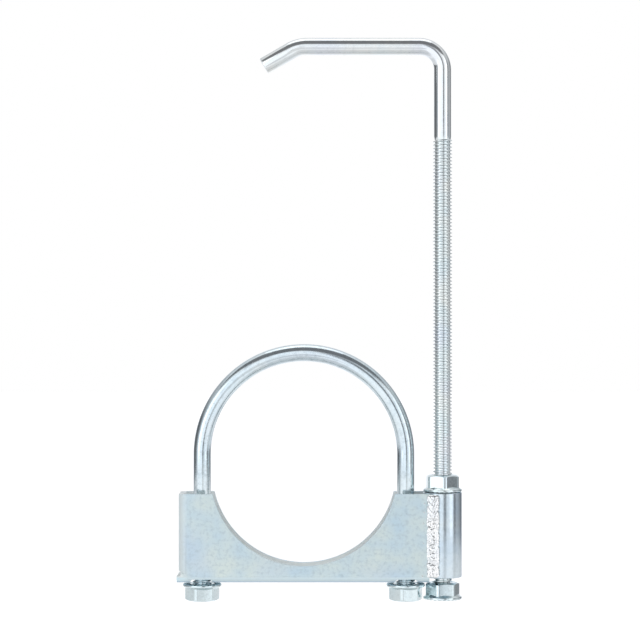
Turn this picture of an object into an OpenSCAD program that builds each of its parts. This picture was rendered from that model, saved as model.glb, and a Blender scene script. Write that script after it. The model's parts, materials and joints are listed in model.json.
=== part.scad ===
// Saddle-type exhaust U-bolt clamp with a welded side sleeve that carries a long threaded hook rod.
// Millimetres. The pipe axis runs along Y through the origin, and Z points up towards the arch.

/* [Pipe] */
// Outside diameter of the pipe that the clamp takes
pipe_d = 76.2; // [50:0.1:110]
// Play between the pipe and the saddle's seat, in radius
seat_clearance = 0.1; // [0:0.05:0.2]
// Play between the pipe and the U-bolt's legs and arch, in radius
arch_clearance = 0.2; // [0.1:0.05:1]

/* [Saddle] */
// Outside depth of the pressed channel, along the pipe
saddle_depth = 18; // [14:0.5:30]
// Thickness of the saddle's sheet
plate_t = 2.6; // [2:0.1:3.2]
// Outside radius of the bends between the floor and the two flanges
bend_r = 3.8; // [3.4:0.1:5]
// Drop from the pipe axis to the flanges' top edges
saddle_drop = 8.7; // [4:0.1:14]
// Height of steel left under the lowest point of the seat
seat_floor = 6.8; // [5:0.1:12]
// Distance from the left leg's axis to the saddle's free end
end_margin = 9.35; // [8:0.05:16]
// Outside radius of the turned-in flange ends
curl_r = 3.6; // [3.3:0.1:5]
// Width of the open slot between the two turned-in ends
lip_gap = 8.4; // [2:0.1:10]
// How far the floor stands out past the turned-in ends
floor_flare = 0.7; // [0:0.1:2]
// Radius of the relief notch under each turned-in end
relief_r = 1.2; // [0.6:0.1:2]
// Height of the pressed step in the floor over each nut
step_rise = 1.4; // [0.5:0.1:2]
// Width of that step at its top
step_top_w = 7.4; // [5:0.1:9]
// Width of that step at the floor's lower face
step_bottom_w = 10.4; // [9.5:0.1:12]
// Play round each leg in the floor's holes, in radius
leg_play = 0.4; // [0.2:0.05:0.8]

/* [U-bolt] */
// Diameter of the plain rod
rod_d = 7.1; // [5:0.1:7.6]
// How much the rod swells where it is bent, in radius
bend_swell = 0.03; // [0.02:0.01:0.1]
// Outside diameter of the rolled thread
thread_d = 7.94; // [7.7:0.01:10]
// How far a thread's lead-in cones reach inside the plain rod, in radius
thread_lead = 0.35; // [0.2:0.05:0.6]
// Height of the arch's centre above the pipe axis, with the nuts slack
arch_rise = 7; // [0:0.1:20]
// Length of thread on each leg
leg_thread = 38; // [20:0.5:43]
// How far the legs end inside their nuts
leg_inset = 0.3; // [0:0.1:2]

/* [Flange nuts] */
// Width across the flats
nut_flats = 12.7; // [11:0.1:14]
// Width across the rounded corners
nut_corners = 14.1; // [13.2:0.1:15.5]
// Diameter of the flange
nut_flange_d = 15.9; // [15.6:0.1:20]
// Thickness of the flange at its rim
nut_rim = 1.2; // [0.8:0.1:2]
// Height of the cone between the flange's rim and the hexagon
nut_cone = 1; // [0.5:0.1:2]
// Height of the whole nut
nut_h = 7.1; // [6:0.1:9]
// Height of the chamfer at the hexagon's outer end
nut_chamfer = 0.7; // [0.3:0.05:1.2]
// Play between a nut's bore and the thread in it, in radius
thread_fit = 0.05; // [0.02:0.01:0.1]
// Slack left between the U-bolt's nuts and the saddle's floor
leg_nut_slack = 0.9; // [0:0.1:4]
// Slack left between the lower hook nut and the sleeve
hook_nut_slack = 2.1; // [0:0.1:4]
// Gap between the right leg's nut and the lower hook nut
nut_gap = 0.15; // [0.1:0.05:2]
// Depth of the chamfer at each end of a nut's bore
nut_mouth = 0.45; // [0.2:0.05:0.8]
// Height of the broken edge round the flange's bearing face
nut_edge = 0.3; // [0.1:0.1:0.6]
// Turn of the left leg's nut about its leg, in degrees
left_nut_turn = 40; // [0:1:59]
// Turn of the right leg's nut about its leg, in degrees
right_nut_turn = 45; // [0:1:59]
// Turn of the upper hook nut about the rod, in degrees
upper_nut_turn = 5; // [0:1:59]
// Turn of the lower hook nut about the rod, in degrees
lower_nut_turn = 40; // [0:1:59]

/* [Sleeve and weld] */
// Outside diameter of the sleeve
sleeve_d = 15.9; // [13:0.1:20]
// Play between the sleeve's bore and the hook rod, in radius
sleeve_play = 0.35; // [0.15:0.05:0.8]
// How far the flange ends reach past the sleeve's near side
sleeve_nest = 2.2; // [1:0.1:3]
// Play between the sleeve and the saddle's floor, in radius
nest_fit = 0.1; // [0.05:0.05:0.5]
// How far the sleeve stands above the flanges
sleeve_proud = 0.3; // [0.1:0.1:3]
// How far the sleeve stops above the saddle's lower face
sleeve_lift = 1.7; // [0:0.1:4]
// Width of each weld bead
weld_w = 6.2; // [4:0.1:7]
// How far each weld bead stands proud of the flange
weld_proud = 1.1; // [0.4:0.1:2]
// Distance that the beads stop short of the sleeve's two ends
weld_short = 0.5; // [0.5:0.1:4]
// How far each bead's middle stands past the flange's end
weld_set = 1.03; // [0.5:0.01:2]
// Width of the broken edges at the sleeve's two ends
sleeve_edge = 0.4; // [0.2:0.1:0.8]

/* [Hook rod] */
// Height of the hook's arm above the pipe axis, on centre
arm_height = 174.8; // [150:0.1:260]
// Length of the arm from the rod's axis to the corner of its tip
arm_reach = 59.4; // [30:0.1:90]
// Radius of the bend from the rod into the arm, on centre
arm_bend_r = 9.5; // [6:0.1:20]
// Length of plain rod between the arm's centreline and the thread
plain_shank = 37.1; // [15:0.1:60]
// Angle that the tip turns down
tip_angle = 30; // [10:1:60]
// Radius of the tip's bend, on centre
tip_bend_r = 12; // [6:0.5:20]
// Length of the tip from its corner to its cut end
tip_length = 16.3; // [12:0.1:30]

/* [Hidden] */
$fn = 96;
zinc = [0.80, 0.84, 0.88];
zinc_nut = [0.74, 0.80, 0.84];
weld_tone = [0.90, 0.92, 0.94];
// Overshoot of a cutting solid past the face it opens
over = 1;
// Slope of a thread's lead-in, as height over radius
lead_slope = 0.6;
// How far a straight run of rod reaches into the bend it meets
bend_lap = 0.4;
// How far inside the hexagon's flats the flange's cone ends, in radius
cone_inset = 0.1;
// Facets round the pipe seat
seat_facets = 240;
// Facets round a whole turn of a rod's bend
bend_facets = 192;
rod_r = rod_d / 2;
thread_r = thread_d / 2;
nut_bore_r = thread_r + thread_fit;
corner_r = nut_corners / 2;
flange_r = nut_flange_d / 2;
seat_r = pipe_d / 2 + seat_clearance;
leg_x = pipe_d / 2 + arch_clearance + rod_r;
leg_hole_r = thread_r + leg_play;
sleeve_r = sleeve_d / 2;
sleeve_bore_r = thread_r + sleeve_play;
hook_x = leg_x + flange_r + corner_r + nut_gap;
saddle_top = -saddle_drop;
saddle_bottom = -(seat_r + seat_floor);
saddle_left = -(leg_x + end_margin);
saddle_right = hook_x - sleeve_r + sleeve_nest;
curl_bottom = saddle_bottom + bend_r;
sleeve_top = saddle_top + sleeve_proud;
sleeve_bottom = saddle_bottom + sleeve_lift;
leg_nut_top = saddle_bottom - leg_nut_slack;
leg_end = leg_nut_top - nut_h + leg_inset;
hook_nut_top = sleeve_bottom - hook_nut_slack;
rod_end = hook_nut_top - nut_h;
thread_top = arm_height - plain_shank;
lead_r = thread_r - rod_r + thread_lead;
plain_lap = 2 * lead_r;

// A channel's cross-section in Y and Z, open at the top
module channel_outline(width, radius, bottom, top) {
    translate([-width / 2, bottom + radius])
        square([width, top - bottom - radius]);
    translate([-width / 2 + radius, bottom])
        square([width - 2 * radius, radius + over]);
    for (side = [-1, 1])
        translate([side * (width / 2 - radius), bottom + radius])
            circle(radius);
}

// A channel outline drawn out along X, from one end to the other
module channel_run(width, radius, bottom, top, from, to) {
    translate([from, 0, 0])
        rotate([90, 0, 90])
            linear_extrude(to - from)
                channel_outline(width, radius, bottom, top);
}

// A plan outline with two round corners at its left end, drawn up along Z
module curled_plan(width, radius, left, right, from, to) {
    translate([0, 0, from])
        linear_extrude(to - from) {
            translate([left + radius, -width / 2])
                square([right - left - radius, width]);
            translate([left, -width / 2 + radius])
                square([radius + over, width - 2 * radius]);
            for (side = [-1, 1])
                translate([left + radius, side * (width / 2 - radius)])
                    circle(radius);
        }
}

// The outside of the saddle, before its pipe seat is cut
module saddle_envelope() {
    intersection() {
        channel_run(saddle_depth, bend_r, saddle_bottom, saddle_top, saddle_left, saddle_right);
        curled_plan(saddle_depth, curl_r, saddle_left, saddle_right, curl_bottom, saddle_top);
    }
    intersection() {
        channel_run(saddle_depth, bend_r, saddle_bottom, saddle_top,
            saddle_left - floor_flare, saddle_right);
        translate([saddle_left - floor_flare, -saddle_depth / 2, saddle_bottom])
            cube([saddle_right - saddle_left + floor_flare, saddle_depth, bend_r]);
    }
}

// A step's outline in X and Z over one nut, grown sideways and upwards by a margin
module step_outline(margin, depth) {
    translate([0, depth / 2, saddle_bottom])
        rotate([90, 0, 0])
            linear_extrude(depth)
                polygon([
                    [-step_bottom_w / 2 - margin, -over],
                    [step_bottom_w / 2 + margin, -over],
                    [step_bottom_w / 2 + margin, 0],
                    [step_top_w / 2 + margin, step_rise + margin],
                    [-step_top_w / 2 - margin, step_rise + margin],
                    [-step_bottom_w / 2 - margin, 0]
                ]);
}

// The hollow of the saddle, with the stepped floor over each nut left in
module saddle_hollow() {
    inner_w = saddle_depth - 2 * plate_t;
    inner_r = bend_r - plate_t;
    floor_z = saddle_bottom + plate_t;
    difference() {
        union() {
            intersection() {
                channel_run(inner_w, inner_r, floor_z, saddle_top + over,
                    saddle_left + plate_t, saddle_right + over);
                curled_plan(inner_w, curl_r - plate_t, saddle_left + plate_t,
                    saddle_right + over, floor_z, saddle_top + over);
            }
            translate([saddle_left - over, -lip_gap / 2, floor_z])
                cube([curl_r + over, lip_gap, saddle_top - floor_z + over]);
        }
        for (side = [-1, 1])
            translate([side * leg_x, 0, 0])
                step_outline(plate_t, inner_w + 2 * over);
    }
}

module saddle() {
    color(zinc)
    difference() {
        saddle_envelope();
        saddle_hollow();
        for (side = [-1, 1])
            translate([side * leg_x, 0, 0]) {
                step_outline(0, saddle_depth + 2 * over);
                translate([0, 0, saddle_bottom - over])
                    cylinder(r = leg_hole_r, h = plate_t + step_rise + 2 * over);
            }
        rotate([90, 0, 0])
            cylinder(r = seat_r, h = saddle_depth + 2 * over, center = true, $fn = seat_facets);
        translate([saddle_left, 0, curl_bottom])
            rotate([90, 0, 0])
                cylinder(r = relief_r, h = saddle_depth + 2 * over, center = true);
        translate([hook_x, 0, saddle_bottom - over])
            cylinder(r = sleeve_r + nest_fit, h = saddle_top - saddle_bottom + 2 * over);
    }
}

module sleeve() {
    color(zinc)
    translate([hook_x, 0, 0])
        rotate_extrude()
            polygon([
                [sleeve_bore_r, sleeve_bottom + sleeve_edge],
                [sleeve_bore_r + sleeve_edge, sleeve_bottom],
                [sleeve_r - sleeve_edge, sleeve_bottom],
                [sleeve_r, sleeve_bottom + sleeve_edge],
                [sleeve_r, sleeve_top - sleeve_edge],
                [sleeve_r - sleeve_edge, sleeve_top],
                [sleeve_bore_r + sleeve_edge, sleeve_top],
                [sleeve_bore_r, sleeve_top - sleeve_edge]
            ]);
}

// One bead in the groove between a flange end and the sleeve; side is -1 in front and 1 behind
module weld_bead(side) {
    bead_r = weld_w / 2;
    bead_x = saddle_right + weld_set;
    bead_y = side * (saddle_depth / 2 + weld_proud - bead_r);
    bead_from = sleeve_bottom + weld_short + bead_r;
    bead_to = sleeve_top - weld_short - bead_r;
    color(weld_tone)
    difference() {
        translate([bead_x, bead_y, 0]) {
            translate([0, 0, bead_from])
                cylinder(r = bead_r, h = bead_to - bead_from);
            for (z = [bead_from, bead_to])
                translate([0, 0, z])
                    sphere(bead_r);
        }
        translate([saddle_right - weld_w, -saddle_depth / 2, saddle_bottom])
            cube([weld_w, saddle_depth, saddle_top - saddle_bottom]);
        translate([hook_x, 0, saddle_bottom])
            cylinder(r = sleeve_r, h = saddle_top - saddle_bottom + over);
    }
}

module weld_front() {
    weld_bead(-1);
}

module weld_back() {
    weld_bead(1);
}

// A thread's envelope between two heights, with a lead-in cone at each end
module thread_run(from, to) {
    rotate_extrude()
        polygon([
            [0, from],
            [thread_r - lead_r, from],
            [thread_r, from + lead_r * lead_slope],
            [thread_r, to - lead_r * lead_slope],
            [thread_r - lead_r, to],
            [0, to]
        ]);
}

// A bend of rod in the X-Z plane about the origin, counted anticlockwise as seen from the front
module rod_bend(radius, start, angle) {
    rotate([90, 0, 0])
        rotate([0, 0, start])
            rotate_extrude(angle = angle, $fn = bend_facets)
                translate([radius, 0])
                    circle(rod_r + bend_swell);
}

module u_bolt() {
    plain_from = leg_end + leg_thread - plain_lap;
    color(zinc) {
        translate([0, 0, arch_rise])
            rod_bend(leg_x, 0, 180);
        for (side = [-1, 1])
            translate([side * leg_x, 0, 0]) {
                translate([0, 0, plain_from])
                    cylinder(r = rod_r, h = arch_rise + bend_lap - plain_from);
                thread_run(leg_end, leg_end + leg_thread);
            }
    }
}

// A flange nut standing on its flange at the origin, hexagon up
module flange_nut(turn) {
    hex_r = nut_flats / 2 / cos(30);
    mouth_r = nut_bore_r + nut_mouth;
    difference() {
        union() {
            intersection() {
                rotate([0, 0, turn])
                    cylinder(r = hex_r, h = nut_h, $fn = 6);
                rotate_extrude()
                    polygon([
                        [0, 0],
                        [corner_r, 0],
                        [corner_r, nut_h - nut_chamfer],
                        [corner_r - 2 * nut_chamfer, nut_h],
                        [0, nut_h]
                    ]);
            }
            rotate_extrude()
                polygon([
                    [0, 0],
                    [flange_r - nut_edge, 0],
                    [flange_r, nut_edge],
                    [flange_r, nut_rim],
                    [nut_flats / 2 - cone_inset, nut_rim + nut_cone],
                    [0, nut_rim + nut_cone]
                ]);
        }
        translate([0, 0, -over])
            cylinder(r = nut_bore_r, h = nut_h + 2 * over);
        for (end = [0, 1])
            translate([0, 0, end * nut_h])
                mirror([0, 0, end])
                    cylinder(r1 = mouth_r, r2 = nut_bore_r, h = nut_mouth);
    }
}

// A U-bolt nut under the saddle, flange up; its turn is counted from the front
module leg_nut(side, turn) {
    color(zinc_nut)
    translate([side * leg_x, 0, leg_nut_top])
        mirror([0, 0, 1])
            flange_nut(turn - 90);
}

module u_bolt_nut_left() {
    leg_nut(-1, left_nut_turn);
}

module u_bolt_nut_right() {
    leg_nut(1, right_nut_turn);
}

module hook_nut_upper() {
    color(zinc_nut)
    translate([hook_x, 0, sleeve_top])
        flange_nut(upper_nut_turn - 90);
}

module hook_nut_lower() {
    color(zinc_nut)
    translate([hook_x, 0, rod_end])
        flange_nut(lower_nut_turn - 90);
}

// The rod's plain part follows the arm: up, over the bend, along, and down into the tip
module hook_rod() {
    tip_run = tip_bend_r * tan(tip_angle / 2);
    corner_x = hook_x - arm_reach;
    arm_left = corner_x + tip_run;
    arm_right = hook_x - arm_bend_r;
    plain_from = thread_top - plain_lap;
    color(zinc) {
        translate([hook_x, 0, 0])
            thread_run(rod_end, thread_top);
        translate([hook_x, 0, plain_from])
            cylinder(r = rod_r, h = arm_height - arm_bend_r + bend_lap - plain_from);
        translate([arm_right, 0, arm_height - arm_bend_r])
            rod_bend(arm_bend_r, 0, 90);
        translate([arm_left - bend_lap, 0, arm_height])
            rotate([0, 90, 0])
                cylinder(r = rod_r, h = arm_right - arm_left + 2 * bend_lap);
        translate([arm_left, 0, arm_height - tip_bend_r])
            rod_bend(tip_bend_r, 90, tip_angle);
        translate([corner_x, 0, arm_height])
            rotate([0, -90 - tip_angle, 0])
                translate([0, 0, tip_run - bend_lap])
                    cylinder(r = rod_r, h = tip_length - tip_run + bend_lap);
    }
}

saddle();
sleeve();
weld_front();
weld_back();
u_bolt();
u_bolt_nut_left();
u_bolt_nut_right();
hook_rod();
hook_nut_upper();
hook_nut_lower();
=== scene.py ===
import json
import math
import random

import bmesh
import bpy
from mathutils import Matrix, Vector, noise


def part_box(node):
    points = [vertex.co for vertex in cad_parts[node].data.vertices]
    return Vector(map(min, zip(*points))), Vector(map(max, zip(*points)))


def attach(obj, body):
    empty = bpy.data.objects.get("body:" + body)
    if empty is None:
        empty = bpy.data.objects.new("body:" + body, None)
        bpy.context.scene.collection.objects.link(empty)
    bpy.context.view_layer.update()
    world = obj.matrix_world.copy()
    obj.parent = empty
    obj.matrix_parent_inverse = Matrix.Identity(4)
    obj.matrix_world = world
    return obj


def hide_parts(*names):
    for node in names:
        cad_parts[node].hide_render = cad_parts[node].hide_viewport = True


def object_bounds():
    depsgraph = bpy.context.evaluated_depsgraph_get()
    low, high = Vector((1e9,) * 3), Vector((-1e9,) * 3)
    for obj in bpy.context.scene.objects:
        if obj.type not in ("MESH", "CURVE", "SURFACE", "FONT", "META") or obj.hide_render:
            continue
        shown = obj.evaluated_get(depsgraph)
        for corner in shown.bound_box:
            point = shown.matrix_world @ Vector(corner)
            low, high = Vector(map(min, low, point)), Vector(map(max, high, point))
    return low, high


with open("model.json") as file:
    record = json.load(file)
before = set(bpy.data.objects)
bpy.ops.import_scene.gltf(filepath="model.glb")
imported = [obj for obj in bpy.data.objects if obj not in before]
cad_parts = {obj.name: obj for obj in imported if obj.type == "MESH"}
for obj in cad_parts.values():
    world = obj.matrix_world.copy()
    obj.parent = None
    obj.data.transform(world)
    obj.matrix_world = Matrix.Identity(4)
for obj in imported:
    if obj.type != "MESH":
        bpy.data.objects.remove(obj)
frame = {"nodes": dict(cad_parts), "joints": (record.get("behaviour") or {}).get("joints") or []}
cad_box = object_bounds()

MM = 0.001
TAU = 2 * math.pi

# Rod and thread, 5/16-18: the plain rod is the thread's pitch diameter.
SIDES = 40
ROD_R = 3.55 * MM
BEND_SWELL = 0.03 * MM
PITCH = 25.4 / 18 * MM
ROOT_R = 3.14 * MM
THREAD_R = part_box("hook_rod")[1].y
END_R = 3.2 * MM
RUN_OUT = 0.8 * PITCH
RUN_OUT_END = 0.4 * PITCH
# The thread starts just above the rod's cut end, inside a chamfer that widens at this slope.
START_RISE = 0.12 * MM
LEAD_SLOPE = 0.8
# One pitch of thread: how far along it each row of points lies, and its height from root to crest.
THREAD_ROWS = ((0.0, 0.06), (0.125, 0.0), (0.25, 0.06), (0.5, 0.9), (0.5625, 1.0), (0.6875, 1.0), (0.75, 0.9))

# The hook rod's cut end is chamfered. In a bend a rod is flatter across it and wider along its axis, and
# most so in the tightest bends.
CUT_CHAMFER = 0.5 * MM
BEND_FLAT = 0.03
BEND_WIDE = 0.02
BEND_STEP = 0.9 * MM
TIGHT_BEND_R = 8 * MM

# The hook rod's route, from the rod's axis to the cut end of its tip.
ARM_BEND_R = 9.5 * MM
ARM_REACH = 59.4 * MM
PLAIN_SHANK = 37.1 * MM
TIP_ANGLE = math.radians(30)
TIP_BEND_R = 12 * MM
TIP_LENGTH = 16.3 * MM
LEG_THREAD = 38 * MM

# The flange nuts.
NUT_STEPS = 144
NUT_TEETH = 24
NUT_H = 7.1 * MM
NUT_FLAT_R = 6.35 * MM
NUT_CORNER_R = 7.05 * MM
NUT_FLANGE_R = 7.945 * MM
NUT_TOP_R = 5.65 * MM
NUT_BORE_R = 4.02 * MM
NUT_MOUTH_R = 4.47 * MM
NUT_TOOTH = 0.34 * MM
NUT_RIM_H = 1.2 * MM
NUT_CONE_R = 7.95 * MM
NUT_CONE_SLOPE = 1.7
NUT_BEVEL_SLOPE = 0.5

# The sleeve, the saddle and the welds.
SLEEVE_PLAY = 0.35 * MM
SLEEVE_EDGE = 0.45 * MM
SHEET_EDGE = 0.35 * MM
INSIDE_HALF = 6.5 * MM
WELD_PROUD = 1.25 * MM
WELD_RIPPLE = 1.7 * MM
WELD_VEE = 2.6 * MM
# The beads' ends are rounded over one part in this many of their length, and the V-shaped ridges begin at
# this share of it.
WELD_ENDS = 26
CROWN_FROM = 0.66
CROWN_BLEND = 0.12
SPATTER = 7

# How close two points are when they count as one.
SAME_POINT = 0.002 * MM

# Where things are, from the frame.
joints = {joint["name"]: joint for joint in frame["joints"]}
hook_x = joints["hook_swing"]["pos_m"][0]
leg_x = joints["right_nut_turn"]["pos_m"][0]
rod_low, rod_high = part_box("hook_rod")
bolt_low, bolt_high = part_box("u_bolt")
sleeve_low, sleeve_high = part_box("sleeve")
saddle_low, saddle_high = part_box("saddle")
arm_z = rod_high.z - ROD_R - BEND_SWELL
arch_z = bolt_high.z - leg_x - ROD_R - BEND_SWELL


def smooth(value):
    """0 below 0, 1 above 1, and an S-curve between."""
    value = min(1.0, max(0.0, value))
    return value * value * (3 - 2 * value)


def piece_from(bm, name, material, body, nodes, sharp=35):
    """Turns a bmesh into a piece that rides on a body and stands for CAD nodes."""
    bmesh.ops.recalc_face_normals(bm, faces=bm.faces)
    mesh = bpy.data.meshes.new(name)
    bm.to_mesh(mesh)
    bm.free()
    mesh.shade_smooth()
    mesh.set_sharp_from_angle(angle=math.radians(sharp))
    mesh.materials.append(material)
    obj = bpy.data.objects.new(name, mesh)
    bpy.context.scene.collection.objects.link(obj)
    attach(obj, body)
    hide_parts(*nodes)
    return obj


# ---------------------------------------------------------------- node helpers

def spread(tree, source, low, high, from_low=0.3, from_high=0.7, kind="LINEAR"):
    """Spreads a stretch of a value over another stretch, and holds it at the ends."""
    node = tree.nodes.new("ShaderNodeMapRange")
    node.interpolation_type = kind
    node.inputs["From Min"].default_value = from_low
    node.inputs["From Max"].default_value = from_high
    node.inputs["To Min"].default_value = low
    node.inputs["To Max"].default_value = high
    tree.links.new(source, node.inputs["Value"])
    return node.outputs[0]


def maths(tree, operation, *values):
    """One step of arithmetic on sockets or plain numbers."""
    node = tree.nodes.new("ShaderNodeMath")
    node.operation = operation
    for socket, value in zip(node.inputs, values):
        if isinstance(value, (int, float)):
            socket.default_value = value
        else:
            tree.links.new(value, socket)
    return node.outputs[0]


def blend(tree, factor, first, second, kind="MIX"):
    """Blends two colours, each a socket or a plain colour, by a socket or a plain factor."""
    node = tree.nodes.new("ShaderNodeMix")
    node.data_type = "RGBA"
    node.blend_type = kind
    if isinstance(factor, (int, float)):
        node.inputs["Factor"].default_value = factor
    else:
        tree.links.new(factor, node.inputs["Factor"])
    for socket, colour in (("A", first), ("B", second)):
        if isinstance(colour, tuple):
            node.inputs[socket].default_value = (*colour, 1)
        else:
            tree.links.new(colour, node.inputs[socket])
    return node.outputs["Result"]


def cloud(tree, coords, size_mm, detail, roughness=0.55):
    """Cloudy noise of a given size in the piece's own space."""
    node = tree.nodes.new("ShaderNodeTexNoise")
    node.inputs["Scale"].default_value = 1 / (size_mm * MM)
    node.inputs["Detail"].default_value = detail
    node.inputs["Roughness"].default_value = roughness
    tree.links.new(coords.outputs["Object"], node.inputs["Vector"])
    return node.outputs["Fac"]


# ---------------------------------------------------------------- camera, lights, floor

def make_camera():
    """Level, straight at the front, from far enough that the flanges' back edges just show."""
    data = bpy.data.cameras.new("camera")
    data.sensor_width = 36
    data.lens = 123.75
    camera = bpy.data.objects.new("camera", data)
    camera.location = (6.6 * MM, -905 * MM, 62.3 * MM)
    camera.rotation_euler = (math.radians(90), 0, 0)
    bpy.context.scene.collection.objects.link(camera)
    bpy.context.scene.camera = camera


def area_light(name, place, target, size, power):
    data = bpy.data.lights.new(name, "AREA")
    data.shape = "RECTANGLE"
    data.size, data.size_y = size
    data.energy = power
    light = bpy.data.objects.new(name, data)
    light.location = place
    light.rotation_euler = (Vector(target) - Vector(place)).to_track_quat("-Z", "Y").to_euler()
    bpy.context.scene.collection.objects.link(light)


def shade_ramp(tree, source, shades, tint):
    """A ramp over a value from 0 to 1. Each stop is a place and a shade, and one tint colours them all."""
    ramp = tree.nodes.new("ShaderNodeValToRGB")
    tree.links.new(source, ramp.inputs[0])
    stops = ramp.color_ramp
    stops.interpolation = "EASE"
    while len(stops.elements) < len(shades):
        stops.elements.new(0.5)
    for stop, (place, shade) in zip(stops.elements, shades):
        stop.position = place
        stop.color = (*(shade * channel for channel in tint), 1)
    return ramp.outputs["Color"]


def compass_shades(tree, split):
    """The studio's shade in each direction round the horizon."""
    angle = maths(tree, "ARCTAN2", split.outputs["X"], split.outputs["Y"])
    turn = spread(tree, angle, 0, 1, -math.pi, math.pi)
    # Places round the horizon, from the camera (0) past the left and the backdrop (0.5) to the camera again.
    shades = (
        (0.0, 1.15), (0.04, 1.2), (0.12, 1.05), (0.16, 1.1), (0.21, 0.5), (0.25, 0.2), (0.35, 0.13),
        (0.41, 0.4), (0.45, 1.0), (0.5, 1.0), (0.55, 0.9), (0.58, 0.35), (0.64, 0.2), (0.69, 0.42),
        (0.76, 0.55), (0.785, 0.22), (0.81, 0.22), (0.835, 1.0), (0.94, 1.0), (0.953, 0.3), (0.985, 0.25),
        (0.996, 1.1),
    )
    return shade_ramp(tree, turn, shades, (0.97, 0.99, 1.02))


def height_shades(tree, split):
    """The studio's shade at each height."""
    climb = spread(tree, split.outputs["Z"], 0, 1, -1, 1)
    # Heights, from straight down (0) past the horizon (0.5) to straight up (1).
    shades = (
        (0.0, 0.7), (0.09, 0.78), (0.2, 1.1), (0.38, 1.1), (0.45, 1.0), (0.6, 1.0), (0.8, 0.75),
        (0.9, 0.8), (0.97, 1.0), (1.0, 1.1),
    )
    return shade_ramp(tree, climb, shades, (1, 1, 1.02))


def add_gaps(tree, coords, studio):
    """Soft round patches: the camera's stand, and the gaps under the top lamp."""
    # Direction, outer and inner edge in degrees, shade.
    gaps = (
        ((0, -0.88, -0.47), 12, 6, 0.75),
        ((0, -0.57, 0.82), 32, 23, 0.2),
        ((-0.46, -0.4, 0.79), 27, 20, 0.2),
        ((0.46, -0.4, 0.79), 27, 20, 0.2),
    )
    for toward, outer, inner, shade in gaps:
        nearness = tree.nodes.new("ShaderNodeVectorMath")
        nearness.operation = "DOT_PRODUCT"
        nearness.inputs[1].default_value = Vector(toward).normalized()
        tree.links.new(coords.outputs["Generated"], nearness.inputs[0])
        edges = (math.cos(math.radians(outer)), math.cos(math.radians(inner)))
        patch = spread(tree, nearness.outputs["Value"], 0, 1, *edges, kind="SMOOTHSTEP")
        studio = blend(tree, patch, studio, (shade, shade, shade * 1.05))
    return studio


def make_world():
    """A white studio all round, with soft dark gaps. The horizon's gaps fade out high up and low down.
    The camera itself sees plain white."""
    world = bpy.data.worlds.new("studio")
    bpy.context.scene.world = world
    world.use_nodes = True
    tree = world.node_tree
    tree.nodes.clear()
    coords = tree.nodes.new("ShaderNodeTexCoord")
    split = tree.nodes.new("ShaderNodeSeparateXYZ")
    tree.links.new(coords.outputs["Generated"], split.inputs[0])
    height = maths(tree, "ABSOLUTE", split.outputs["Z"])
    steep = spread(tree, height, 0, 1, 0.25, 0.7)
    sinking = spread(tree, split.outputs["Z"], 0, 0.65, -0.108, -0.124)
    evenness = maths(tree, "MAXIMUM", steep, sinking)
    level = blend(tree, evenness, compass_shades(tree, split), (1, 1, 1))
    dome = blend(tree, 1, level, height_shades(tree, split), kind="MULTIPLY")
    studio = add_gaps(tree, coords, dome)
    seen = tree.nodes.new("ShaderNodeLightPath")
    backdrop = blend(tree, seen.outputs["Is Camera Ray"], studio, (1, 1, 1))
    background = tree.nodes.new("ShaderNodeBackground")
    tree.links.new(backdrop, background.inputs["Color"])
    output = tree.nodes.new("ShaderNodeOutputWorld")
    tree.links.new(background.outputs[0], output.inputs["Surface"])


def make_floor():
    """A wide pale floor, below everything that the hook rod's travel reaches."""
    travel = joints["hook_height"]["range_m"][0]
    gap = 12 * MM
    bm = bmesh.new()
    bmesh.ops.create_grid(bm, x_segments=1, y_segments=1, size=6)
    mesh = bpy.data.meshes.new("floor")
    bm.to_mesh(mesh)
    bm.free()
    material = bpy.data.materials.new("floor")
    material.use_nodes = True
    tree = material.node_tree
    shader = tree.nodes["Principled BSDF"]
    shader.inputs["Base Color"].default_value = (0.8, 0.8, 0.8, 1)
    shader.inputs["Roughness"].default_value = 0.9
    shader.inputs["Emission Color"].default_value = (1, 1, 1, 1)
    seen = tree.nodes.new("ShaderNodeLightPath")
    glow = maths(tree, "MULTIPLY_ADD", seen.outputs["Is Camera Ray"], 0.3, 0.3)
    tree.links.new(glow, shader.inputs["Emission Strength"])
    mesh.materials.append(material)
    floor = bpy.data.objects.new("floor", mesh)
    floor.location.z = cad_box[0].z + travel - gap
    bpy.context.scene.collection.objects.link(floor)
    floor.visible_glossy = False


# ---------------------------------------------------------------- materials

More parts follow.
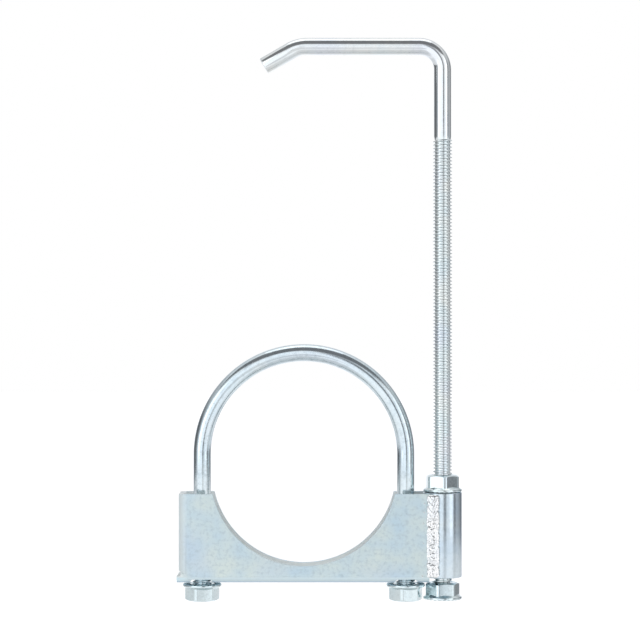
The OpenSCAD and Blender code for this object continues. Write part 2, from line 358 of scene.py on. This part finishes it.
def zinc(name, cool, warm, rough, grain_mm, grain_depth_mm, cloud_mm=9.0, speckle=0.5, painted_light=None):
    """Bright zinc plate: a cool metal clouded with a warmer tint, a fine grain, and a grain-broken gloss."""
    material = bpy.data.materials.new(name)
    material.use_nodes = True
    tree = material.node_tree
    tree.nodes.clear()
    coords = tree.nodes.new("ShaderNodeTexCoord")
    tint = cloud(tree, coords, cloud_mm, 2)
    grain = cloud(tree, coords, grain_mm, 4, 0.65)
    flecks = cloud(tree, coords, grain_mm * 3.5, 3)
    stain = cloud(tree, coords, cloud_mm * 2.2, 1)
    violet = tuple(channel * shift for channel, shift in zip(cool, (0.985, 0.95, 1.02)))
    dark = tuple(channel * 0.72 for channel in cool)
    base = blend(tree, spread(tree, tint, 0, 1), cool, warm)
    base = blend(tree, spread(tree, stain, 0, 0.5, 0.5, 0.72), base, violet)
    base = blend(tree, spread(tree, flecks, 0, speckle, 0.48, 0.78), base, dark)
    gloss = spread(tree, grain, rough - 0.05, rough + 0.1)
    shader = tree.nodes.new("ShaderNodeBsdfPrincipled")
    shader.inputs["Metallic"].default_value = 1.0
    # An optional function paints light and shade into the colour, and sets the gloss and the metal.
    if painted_light:
        base, gloss, metal = painted_light(tree, coords, base, gloss)
        tree.links.new(metal, shader.inputs["Metallic"])
    bump = tree.nodes.new("ShaderNodeBump")
    bump.inputs["Strength"].default_value = 1.0
    bump.inputs["Distance"].default_value = grain_depth_mm * MM
    tree.links.new(grain, bump.inputs["Height"])
    tree.links.new(base, shader.inputs["Base Color"])
    tree.links.new(gloss, shader.inputs["Roughness"])
    tree.links.new(bump.outputs[0], shader.inputs["Normal"])
    output = tree.nodes.new("ShaderNodeOutputMaterial")
    tree.links.new(shader.outputs[0], output.inputs["Surface"])
    return material


def saddle_painted_light(tree, coords, base, gloss):
    """Painted light on the saddle. Between the flanges, and round the turned-in end, the plating is made matt
    and pale: painted light that lifts the shade inside the channel, and a painted highlight on the curled
    end.
    A lighter band along the floor's bend is a painted highlight, over a darker painted shade at the bottom."""
    split = tree.nodes.new("ShaderNodeSeparateXYZ")
    tree.links.new(coords.outputs["Object"], split.inputs[0])
    across, up = split.outputs["X"], split.outputs["Z"]
    depth = maths(tree, "ABSOLUTE", split.outputs["Y"])
    inner = maths(tree, "LESS_THAN", depth, INSIDE_HALF)
    end = spread(tree, across, 0, 0.75, saddle_low.x + 4.6 * MM, saddle_low.x + 2 * MM)
    # Painted light: the pale inside of the flanges lifts their shade, and the pale turned-in end is a painted
    # highlight.
    pale = maths(tree, "MAXIMUM", inner, end)
    matt = tree.nodes.new("ShaderNodeMix")
    matt.inputs["B"].default_value = 0.9
    tree.links.new(pale, matt.inputs["Factor"])
    tree.links.new(gloss, matt.inputs["A"])
    # The painted light's pale colour, inside the flanges and on the turned-in end.
    base = blend(tree, pale, base, (0.96, 1.0, 0.99))
    bend_top = saddle_low.z + 2.6 * MM
    bend_foot = saddle_low.z + 1.0 * MM
    # Painted highlight: a lighter band up to the top of the floor's bend.
    painted_bend_highlight = spread(tree, up, 0.75, 0, bend_top - 0.5 * MM, bend_top)
    base = blend(tree, painted_bend_highlight, base, (0.82, 0.96, 1.0))
    # Painted shade: a darker band along the bottom, below the bend.
    painted_bottom_shade = spread(tree, up, 0.8, 0, bend_foot - 0.5 * MM, bend_foot)
    base = blend(tree, painted_bottom_shade, base, (0.6, 0.73, 0.83))
    # Non-metal inside the flanges, so that the painted pale colour there lifts the shade.
    metal = spread(tree, inner, 1, 0, 0, 1)
    return base, matt.outputs["Result"], metal


# ---------------------------------------------------------------- rods and threads

def add_thread(bm, axis_x, bottom, top):
    """A right-hand thread up one axis, with a chamfered end below and a run-out into plain rod above."""
    rows = len(THREAD_ROWS)
    start = bottom + START_RISE
    turns = int((top - start) / PITCH) - 1
    last = rows * turns

    def corner(row, side):
        turn, step = divmod(row, rows)
        phase, height = THREAD_ROWS[step]
        z = start + PITCH * (turn + phase + side / SIDES)
        radius = ROOT_R + (THREAD_R - ROOT_R) * height
        radius = ROD_R + (radius - ROD_R) * smooth((top - z - RUN_OUT_END) / RUN_OUT)
        radius = min(radius, END_R + (z - bottom) * LEAD_SLOPE)
        angle = TAU * side / SIDES
        return bm.verts.new((axis_x + radius * math.cos(angle), radius * math.sin(angle), z))

    def ring(radius, z):
        return [bm.verts.new((axis_x + radius * math.cos(TAU * i / SIDES),
                              radius * math.sin(TAU * i / SIDES), z)) for i in range(SIDES)]

    columns = [[corner(row, 0) for row in range(last + rows + 1)]]
    for side in range(1, SIDES):
        columns.append([corner(row, side) for row in range(last + 1)])
    for side in range(SIDES):
        wraps = side + 1 == SIDES
        beside = columns[0][rows:] if wraps else columns[side + 1]
        for row in range(last):
            here = columns[side]
            bm.faces.new((here[row], beside[row], beside[row + 1], here[row + 1]))
    low, high = ring(END_R, bottom), ring(ROD_R, top)
    for side in range(SIDES - 1):
        bm.faces.new((low[side], low[side + 1], columns[side + 1][0], columns[side][0]))
    bm.faces.new([low[-1], low[0], *columns[0][:rows + 1], columns[-1][0]])
    bm.faces.new([columns[0][last], columns[1][last], high[1], high[0], *reversed(columns[0][last + 1:])])
    for side in range(1, SIDES - 1):
        bm.faces.new((columns[side][last], columns[side + 1][last], high[side + 1], high[side]))
    bm.faces.new((columns[-1][last], columns[0][last + rows], high[0], high[-1]))
    bm.faces.new(list(reversed(low)))


def rod_route(point, steps):
    """Points along a rod in the X-Z plane that starts upwards. A step is a run's length, or a bend's radius
    and turn, clockwise as seen from the front. A point is (place, heading, how bent the rod is there)."""
    heading = 0.0
    route = [(point.copy(), heading, 0.0)]
    for radius, turn in steps:
        if turn is None:
            point = point + radius * Vector((math.sin(heading), 0, math.cos(heading)))
            route.append((point.copy(), heading, 0.0))
            continue
        side = math.copysign(1, turn)
        across = Vector((math.cos(heading), 0, -math.sin(heading)))
        centre = point + side * radius * across
        count = max(6, int(abs(turn) * radius / BEND_STEP))
        for i in range(1, count + 1):
            angle = heading + turn * i / count
            across = Vector((math.cos(angle), 0, -math.sin(angle)))
            point = centre - side * radius * across
            bent = math.sin(math.pi * i / count)
            route.append((point.copy(), angle, bent * min(1.0, TIGHT_BEND_R / radius)))
        heading += turn
    return route


def add_rod(bm, route, cut_end):
    """Sweeps the plain rod along a route. Where it is bent it is a little flatter across the bend."""
    rings = []

    def ring(place, heading, bent, radius):
        across = Vector((math.cos(heading), 0, -math.sin(heading)))
        loop = []
        for i in range(SIDES):
            angle = TAU * i / SIDES
            flat = across * math.cos(angle) * (1 - BEND_FLAT * bent)
            wide = Vector((0, 1, 0)) * math.sin(angle) * (1 + BEND_WIDE * bent)
            loop.append(bm.verts.new(place + radius * (flat + wide)))
        rings.append(loop)

    for place, heading, bent in route[:-1] if cut_end else route:
        ring(place, heading, bent, ROD_R)
    if cut_end:
        place, heading, bent = route[-1]
        along = Vector((math.sin(heading), 0, math.cos(heading)))
        ring(place - along * CUT_CHAMFER, heading, bent, ROD_R)
        ring(place - along * CUT_CHAMFER * 0.3, heading, bent, ROD_R - CUT_CHAMFER * 0.3)
        ring(place, heading, bent, ROD_R - CUT_CHAMFER)
    for lower, upper in zip(rings, rings[1:]):
        for i in range(SIDES):
            j = (i + 1) % SIDES
            bm.faces.new((lower[i], lower[j], upper[j], upper[i]))
    if cut_end:
        bm.faces.new(rings[-1])


def make_u_bolt(material):
    """The bent rod: two threaded legs, and the plain arch between them."""
    bm = bmesh.new()
    thread_top = bolt_low.z + LEG_THREAD
    for side in (-1, 1):
        add_thread(bm, side * leg_x, bolt_low.z, thread_top)
    leg = arch_z - thread_top
    route = rod_route(Vector((-leg_x, 0, thread_top)), ((leg, None), (leg_x, math.pi), (leg, None)))
    add_rod(bm, route, cut_end=False)
    bmesh.ops.remove_doubles(bm, verts=bm.verts, dist=SAME_POINT)
    return piece_from(bm, "u_bolt_rod", material, "u_bolt", ["u_bolt"])


def make_hook_rod(material):
    """The threaded rod, bent over into the arm with its turned-down tip."""
    bm = bmesh.new()
    thread_top = arm_z - PLAIN_SHANK
    add_thread(bm, hook_x, rod_low.z, thread_top)
    tip_run = TIP_BEND_R * math.tan(TIP_ANGLE / 2)
    steps = (
        (PLAIN_SHANK - ARM_BEND_R, None),
        (ARM_BEND_R, -math.pi / 2),
        (ARM_REACH - ARM_BEND_R - tip_run, None),
        (TIP_BEND_R, -TIP_ANGLE),
        (TIP_LENGTH - tip_run, None),
    )
    add_rod(bm, rod_route(Vector((hook_x, 0, thread_top)), steps), cut_end=True)
    bmesh.ops.remove_doubles(bm, verts=bm.verts, dist=SAME_POINT)
    return piece_from(bm, "hook_rod_threaded", material, "hook_rod", ["hook_rod"])


# ---------------------------------------------------------------- flange nuts

def hex_radius(angle, turn):
    """Distance from a nut's axis to its rounded hexagon in one direction."""
    off_flat = (angle - turn) % (math.pi / 3) - math.pi / 6
    return min(NUT_FLAT_R / math.cos(off_flat), NUT_CORNER_R)


def nut_loop_rows(angle, tooth, turn):
    """The nut's outline in one direction, as (radius, height) from the bore's lower end to its upper end."""
    side = hex_radius(angle, turn)
    cone = NUT_RIM_H + (NUT_CONE_R - side) / NUT_CONE_SLOPE
    bevel = NUT_H - (side - NUT_TOP_R) * NUT_BEVEL_SLOPE
    serration = NUT_TOOTH * tooth
    return (
        (NUT_BORE_R, 0.45 * MM),
        (NUT_MOUTH_R, 0.12 * MM),
        (4.9 * MM, 0.12 * MM),
        (5.3 * MM, 0.3 * serration),
        (7.35 * MM, serration),
        (7.72 * MM, 0.14 * MM + 0.6 * serration),
        (7.92 * MM, 0.42 * MM),
        (NUT_FLANGE_R, 0.6 * MM),
        (NUT_FLANGE_R, 1.0 * MM),
        (7.86 * MM, 1.2 * MM),
        (7.66 * MM, 1.36 * MM),
        (side + 0.2 * MM, cone - 0.06 * MM),
        (side + 0.05 * MM, cone + 0.08 * MM),
        (side, cone + 0.28 * MM),
        (side, bevel - 0.12 * MM),
        (side - 0.04 * MM, bevel - 0.02 * MM),
        (side - 0.14 * MM, bevel + 0.05 * MM),
        (NUT_TOP_R + 0.1 * MM, NUT_H - 0.05 * MM),
        (NUT_TOP_R - 0.15 * MM, NUT_H),
        (NUT_MOUTH_R + 0.05 * MM, NUT_H),
        (NUT_MOUTH_R - 0.05 * MM, NUT_H - 0.05 * MM),
        (NUT_BORE_R, NUT_H - 0.45 * MM),
    )


def make_nut(name, material, body, node, turn_deg, flange_up):
    """A serrated flange nut in its CAD node's place, with its corners turned as the CAD's."""
    low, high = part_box(node)
    centre_x = (low.x + high.x) / 2
    turn = math.radians(turn_deg - 90)
    if flange_up:
        place = Matrix.Translation((centre_x, 0, high.z)) @ Matrix.Scale(-1, 4, (0, 0, 1))
    else:
        place = Matrix.Translation((centre_x, 0, low.z))
    bm = bmesh.new()
    per_tooth = NUT_STEPS // NUT_TEETH
    columns = []
    for step in range(NUT_STEPS):
        angle = TAU * step / NUT_STEPS
        tooth = (step % per_tooth) / (per_tooth - 1)
        columns.append([bm.verts.new(place @ Vector((r * math.cos(angle), r * math.sin(angle), z)))
                        for r, z in nut_loop_rows(angle, tooth, turn)])
    rows = len(columns[0])
    for step in range(NUT_STEPS):
        here, beside = columns[step], columns[(step + 1) % NUT_STEPS]
        for row in range(rows):
            above = (row + 1) % rows
            bm.faces.new((here[row], beside[row], beside[above], here[above]))
    return piece_from(bm, name, material, body, [node], sharp=28)


# ---------------------------------------------------------------- saddle, sleeve and welds

def make_saddle(material):
    """The pressed saddle, with every sheared edge broken."""
    mesh = frame["nodes"]["saddle"].data.copy()
    mesh.materials.clear()
    bm = bmesh.new()
    bm.from_mesh(mesh)
    bmesh.ops.remove_doubles(bm, verts=bm.verts, dist=SAME_POINT)
    bmesh.ops.dissolve_limit(bm, angle_limit=math.radians(0.5), verts=bm.verts, edges=bm.edges)
    obj = piece_from(bm, "saddle_pressing", material, "clamp_base", ["saddle"], sharp=30)
    edges = obj.modifiers.new("broken_edges", "BEVEL")
    edges.width = SHEET_EDGE
    edges.segments = 3
    edges.limit_method = "ANGLE"
    edges.angle_limit = math.radians(40)
    edges.harden_normals = True
    return obj


def make_sleeve(material):
    """A cut length of drawn tube with broken edges."""
    outer = (sleeve_high.x - sleeve_low.x) / 2
    bore = THREAD_R + SLEEVE_PLAY
    low, high = sleeve_low.z, sleeve_high.z
    edge = SLEEVE_EDGE
    outline = []
    for centre_r, centre_z, start in (
        (outer - edge, low + edge, -90),
        (outer - edge, high - edge, 0),
        (bore + edge, high - edge, 90),
        (bore + edge, low + edge, 180),
    ):
        for step in range(5):
            angle = math.radians(start + 22.5 * step)
            outline.append((centre_r + edge * math.cos(angle), centre_z + edge * math.sin(angle)))
    steps = 96
    bm = bmesh.new()
    columns = []
    for step in range(steps):
        angle = TAU * step / steps
        columns.append([bm.verts.new((hook_x + r * math.cos(angle), r * math.sin(angle), z))
                        for r, z in outline])
    for step in range(steps):
        here, beside = columns[step], columns[(step + 1) % steps]
        for row in range(len(outline)):
            above = (row + 1) % len(outline)
            bm.faces.new((here[row], beside[row], beside[above], here[above]))
    return piece_from(bm, "sleeve_tube", material, "clamp_base", ["sleeve"])


def make_weld(name, node, side, material):
    """An uneven bead in the groove between a flange end and the sleeve, with a little spatter on the flange.
    It is rippled, with V-shaped ridges at its top, and it is smoothest on the sleeve's side."""
    low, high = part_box(node)
    around, rows = 72, 220
    half = (high.x - low.x) / 2
    face = abs(low.y if side < 0 else high.y) - WELD_PROUD
    centre_x = (low.x + high.x) / 2
    bm = bmesh.new()
    loops = []
    for row in range(rows + 1):
        share = row / rows
        z = low.z + (high.z - low.z) * share
        end = math.sqrt(1 - max(0.0, 1 - min(share, 1 - share) * WELD_ENDS) ** 2)
        drift = noise.noise(Vector((side * 4.7, z / (3.1 * MM), 2.0)))
        crown = smooth((share - CROWN_FROM) / CROWN_BLEND)
        loop = []
        for step in range(around):
            angle = TAU * step / around
            across, out = math.cos(angle), math.sin(angle)
            spot = Vector((across * half, out * WELD_PROUD, z)) / MM + Vector((side * 11, 0, 0))
            bowed = abs(math.sin(math.pi * (z / WELD_RIPPLE + 0.9 * across * across + 0.5 * drift)))
            vee = abs(math.sin(math.pi * (z / WELD_VEE - 1.3 * abs(across + 0.15) + 0.2 * drift)))
            ripple = math.sqrt(bowed) * (1 - crown) + math.sqrt(vee) * crown
            lumps = noise.noise(spot * 0.55)
            pits = noise.noise(spot * 1.5) + 0.5 * noise.noise(spot * 3.1)
            ragged = 0.96 + 0.14 * lumps + 0.1 * noise.noise(Vector((across, side, z / (0.8 * MM))))
            # How far out the skin stands, as a share of the bead's full height.
            calm = 1 - 0.8 * smooth((across - 0.1) / 0.4) * (1 - crown)
            rough = (0.3 * lumps + 0.24 * pits) * calm * (1 - 0.6 * crown)
            depth = 0.55 + (0.2 * calm + 0.55 * crown) * ripple + rough if out > 0 else 1.5
            wide = half * min(1.0, ragged) * (0.5 + 0.5 * end) * across
            stands = WELD_PROUD * min(1.0, depth) * end * out
            loop.append(bm.verts.new((centre_x + wide, side * (face + stands), z)))
        loops.append(loop)
    for lower, upper in zip(loops, loops[1:]):
        for i in range(around):
            j = (i + 1) % around
            bm.faces.new((lower[i], lower[j], upper[j], upper[i]))
    bm.faces.new(list(reversed(loops[0])))
    bm.faces.new(loops[-1])
    chance = random.Random(17 + side)
    for _ in range(SPATTER):
        drop = chance.uniform(0.2, 0.36) * MM
        beside = low.x - chance.uniform(0.2, 2.4) * MM
        place = Vector((beside, side * saddle_high.y, chance.uniform(low.z, high.z)))
        bmesh.ops.create_icosphere(bm, subdivisions=2, radius=drop, matrix=Matrix.Translation(place))
    return piece_from(bm, name, material, "clamp_base", [node], sharp=180)


# ---------------------------------------------------------------- the object

# The saddle's zinc carries painted light: pale inside the flanges and on the turned-in end, and a lighter
# band over a darker bottom along the floor's bend.
sheet_zinc = zinc("zinc_sheet", (0.63, 0.775, 0.845), (0.75, 0.84, 0.81), 0.5, 0.42, 0.045,
                  cloud_mm=11, speckle=0.55, painted_light=saddle_painted_light)
tube_zinc = zinc("zinc_tube", (0.60, 0.71, 0.79), (0.69, 0.77, 0.80), 0.17, 0.5, 0.006, speckle=0.3)
weld_zinc = zinc("zinc_weld", (0.90, 0.93, 0.94), (0.95, 0.95, 0.93), 0.16, 0.28, 0.02, speckle=1.0)
bolt_zinc = zinc("zinc_bolt", (0.67, 0.78, 0.83), (0.74, 0.82, 0.84), 0.1, 0.55, 0.012, speckle=0.7)
rod_zinc = zinc("zinc_rod", (0.79, 0.86, 0.875), (0.87, 0.89, 0.87), 0.09, 0.5, 0.006, speckle=0.3)
nut_zinc = zinc("zinc_nut", (0.68, 0.80, 0.83), (0.77, 0.85, 0.85), 0.14, 0.4, 0.008, speckle=0.4)

make_camera()
make_world()
make_floor()
area_light("left_softbox", (-0.75, -0.75, 0.35), (0, 0, 0.05), (0.5, 0.9), 0.8)
area_light("right_softbox", (0.85, -0.65, 0.30), (0, 0, 0.05), (0.45, 0.9), 0.5)
area_light("top_softbox", (0.0, 0.1, 1.0), (0, 0, 0.05), (0.8, 0.6), 0.7)

make_saddle(sheet_zinc)
make_sleeve(tube_zinc)
make_weld("weld_bead_front", "weld_front", -1, weld_zinc)
make_weld("weld_bead_back", "weld_back", 1, weld_zinc)
make_u_bolt(bolt_zinc)
make_hook_rod(rod_zinc)
for place, node, turn_deg, flange_up in (
    ("left", "u_bolt_nut_left", 40, True),
    ("right", "u_bolt_nut_right", 45, True),
    ("upper", "hook_nut_upper", 5, False),
    ("lower", "hook_nut_lower", 40, False),
):
    make_nut("flange_nut_" + place, nut_zinc, place + "_nut", node, turn_deg, flange_up)

bpy.context.scene.view_settings.view_transform = "Standard"

bpy.context.view_layer.update()
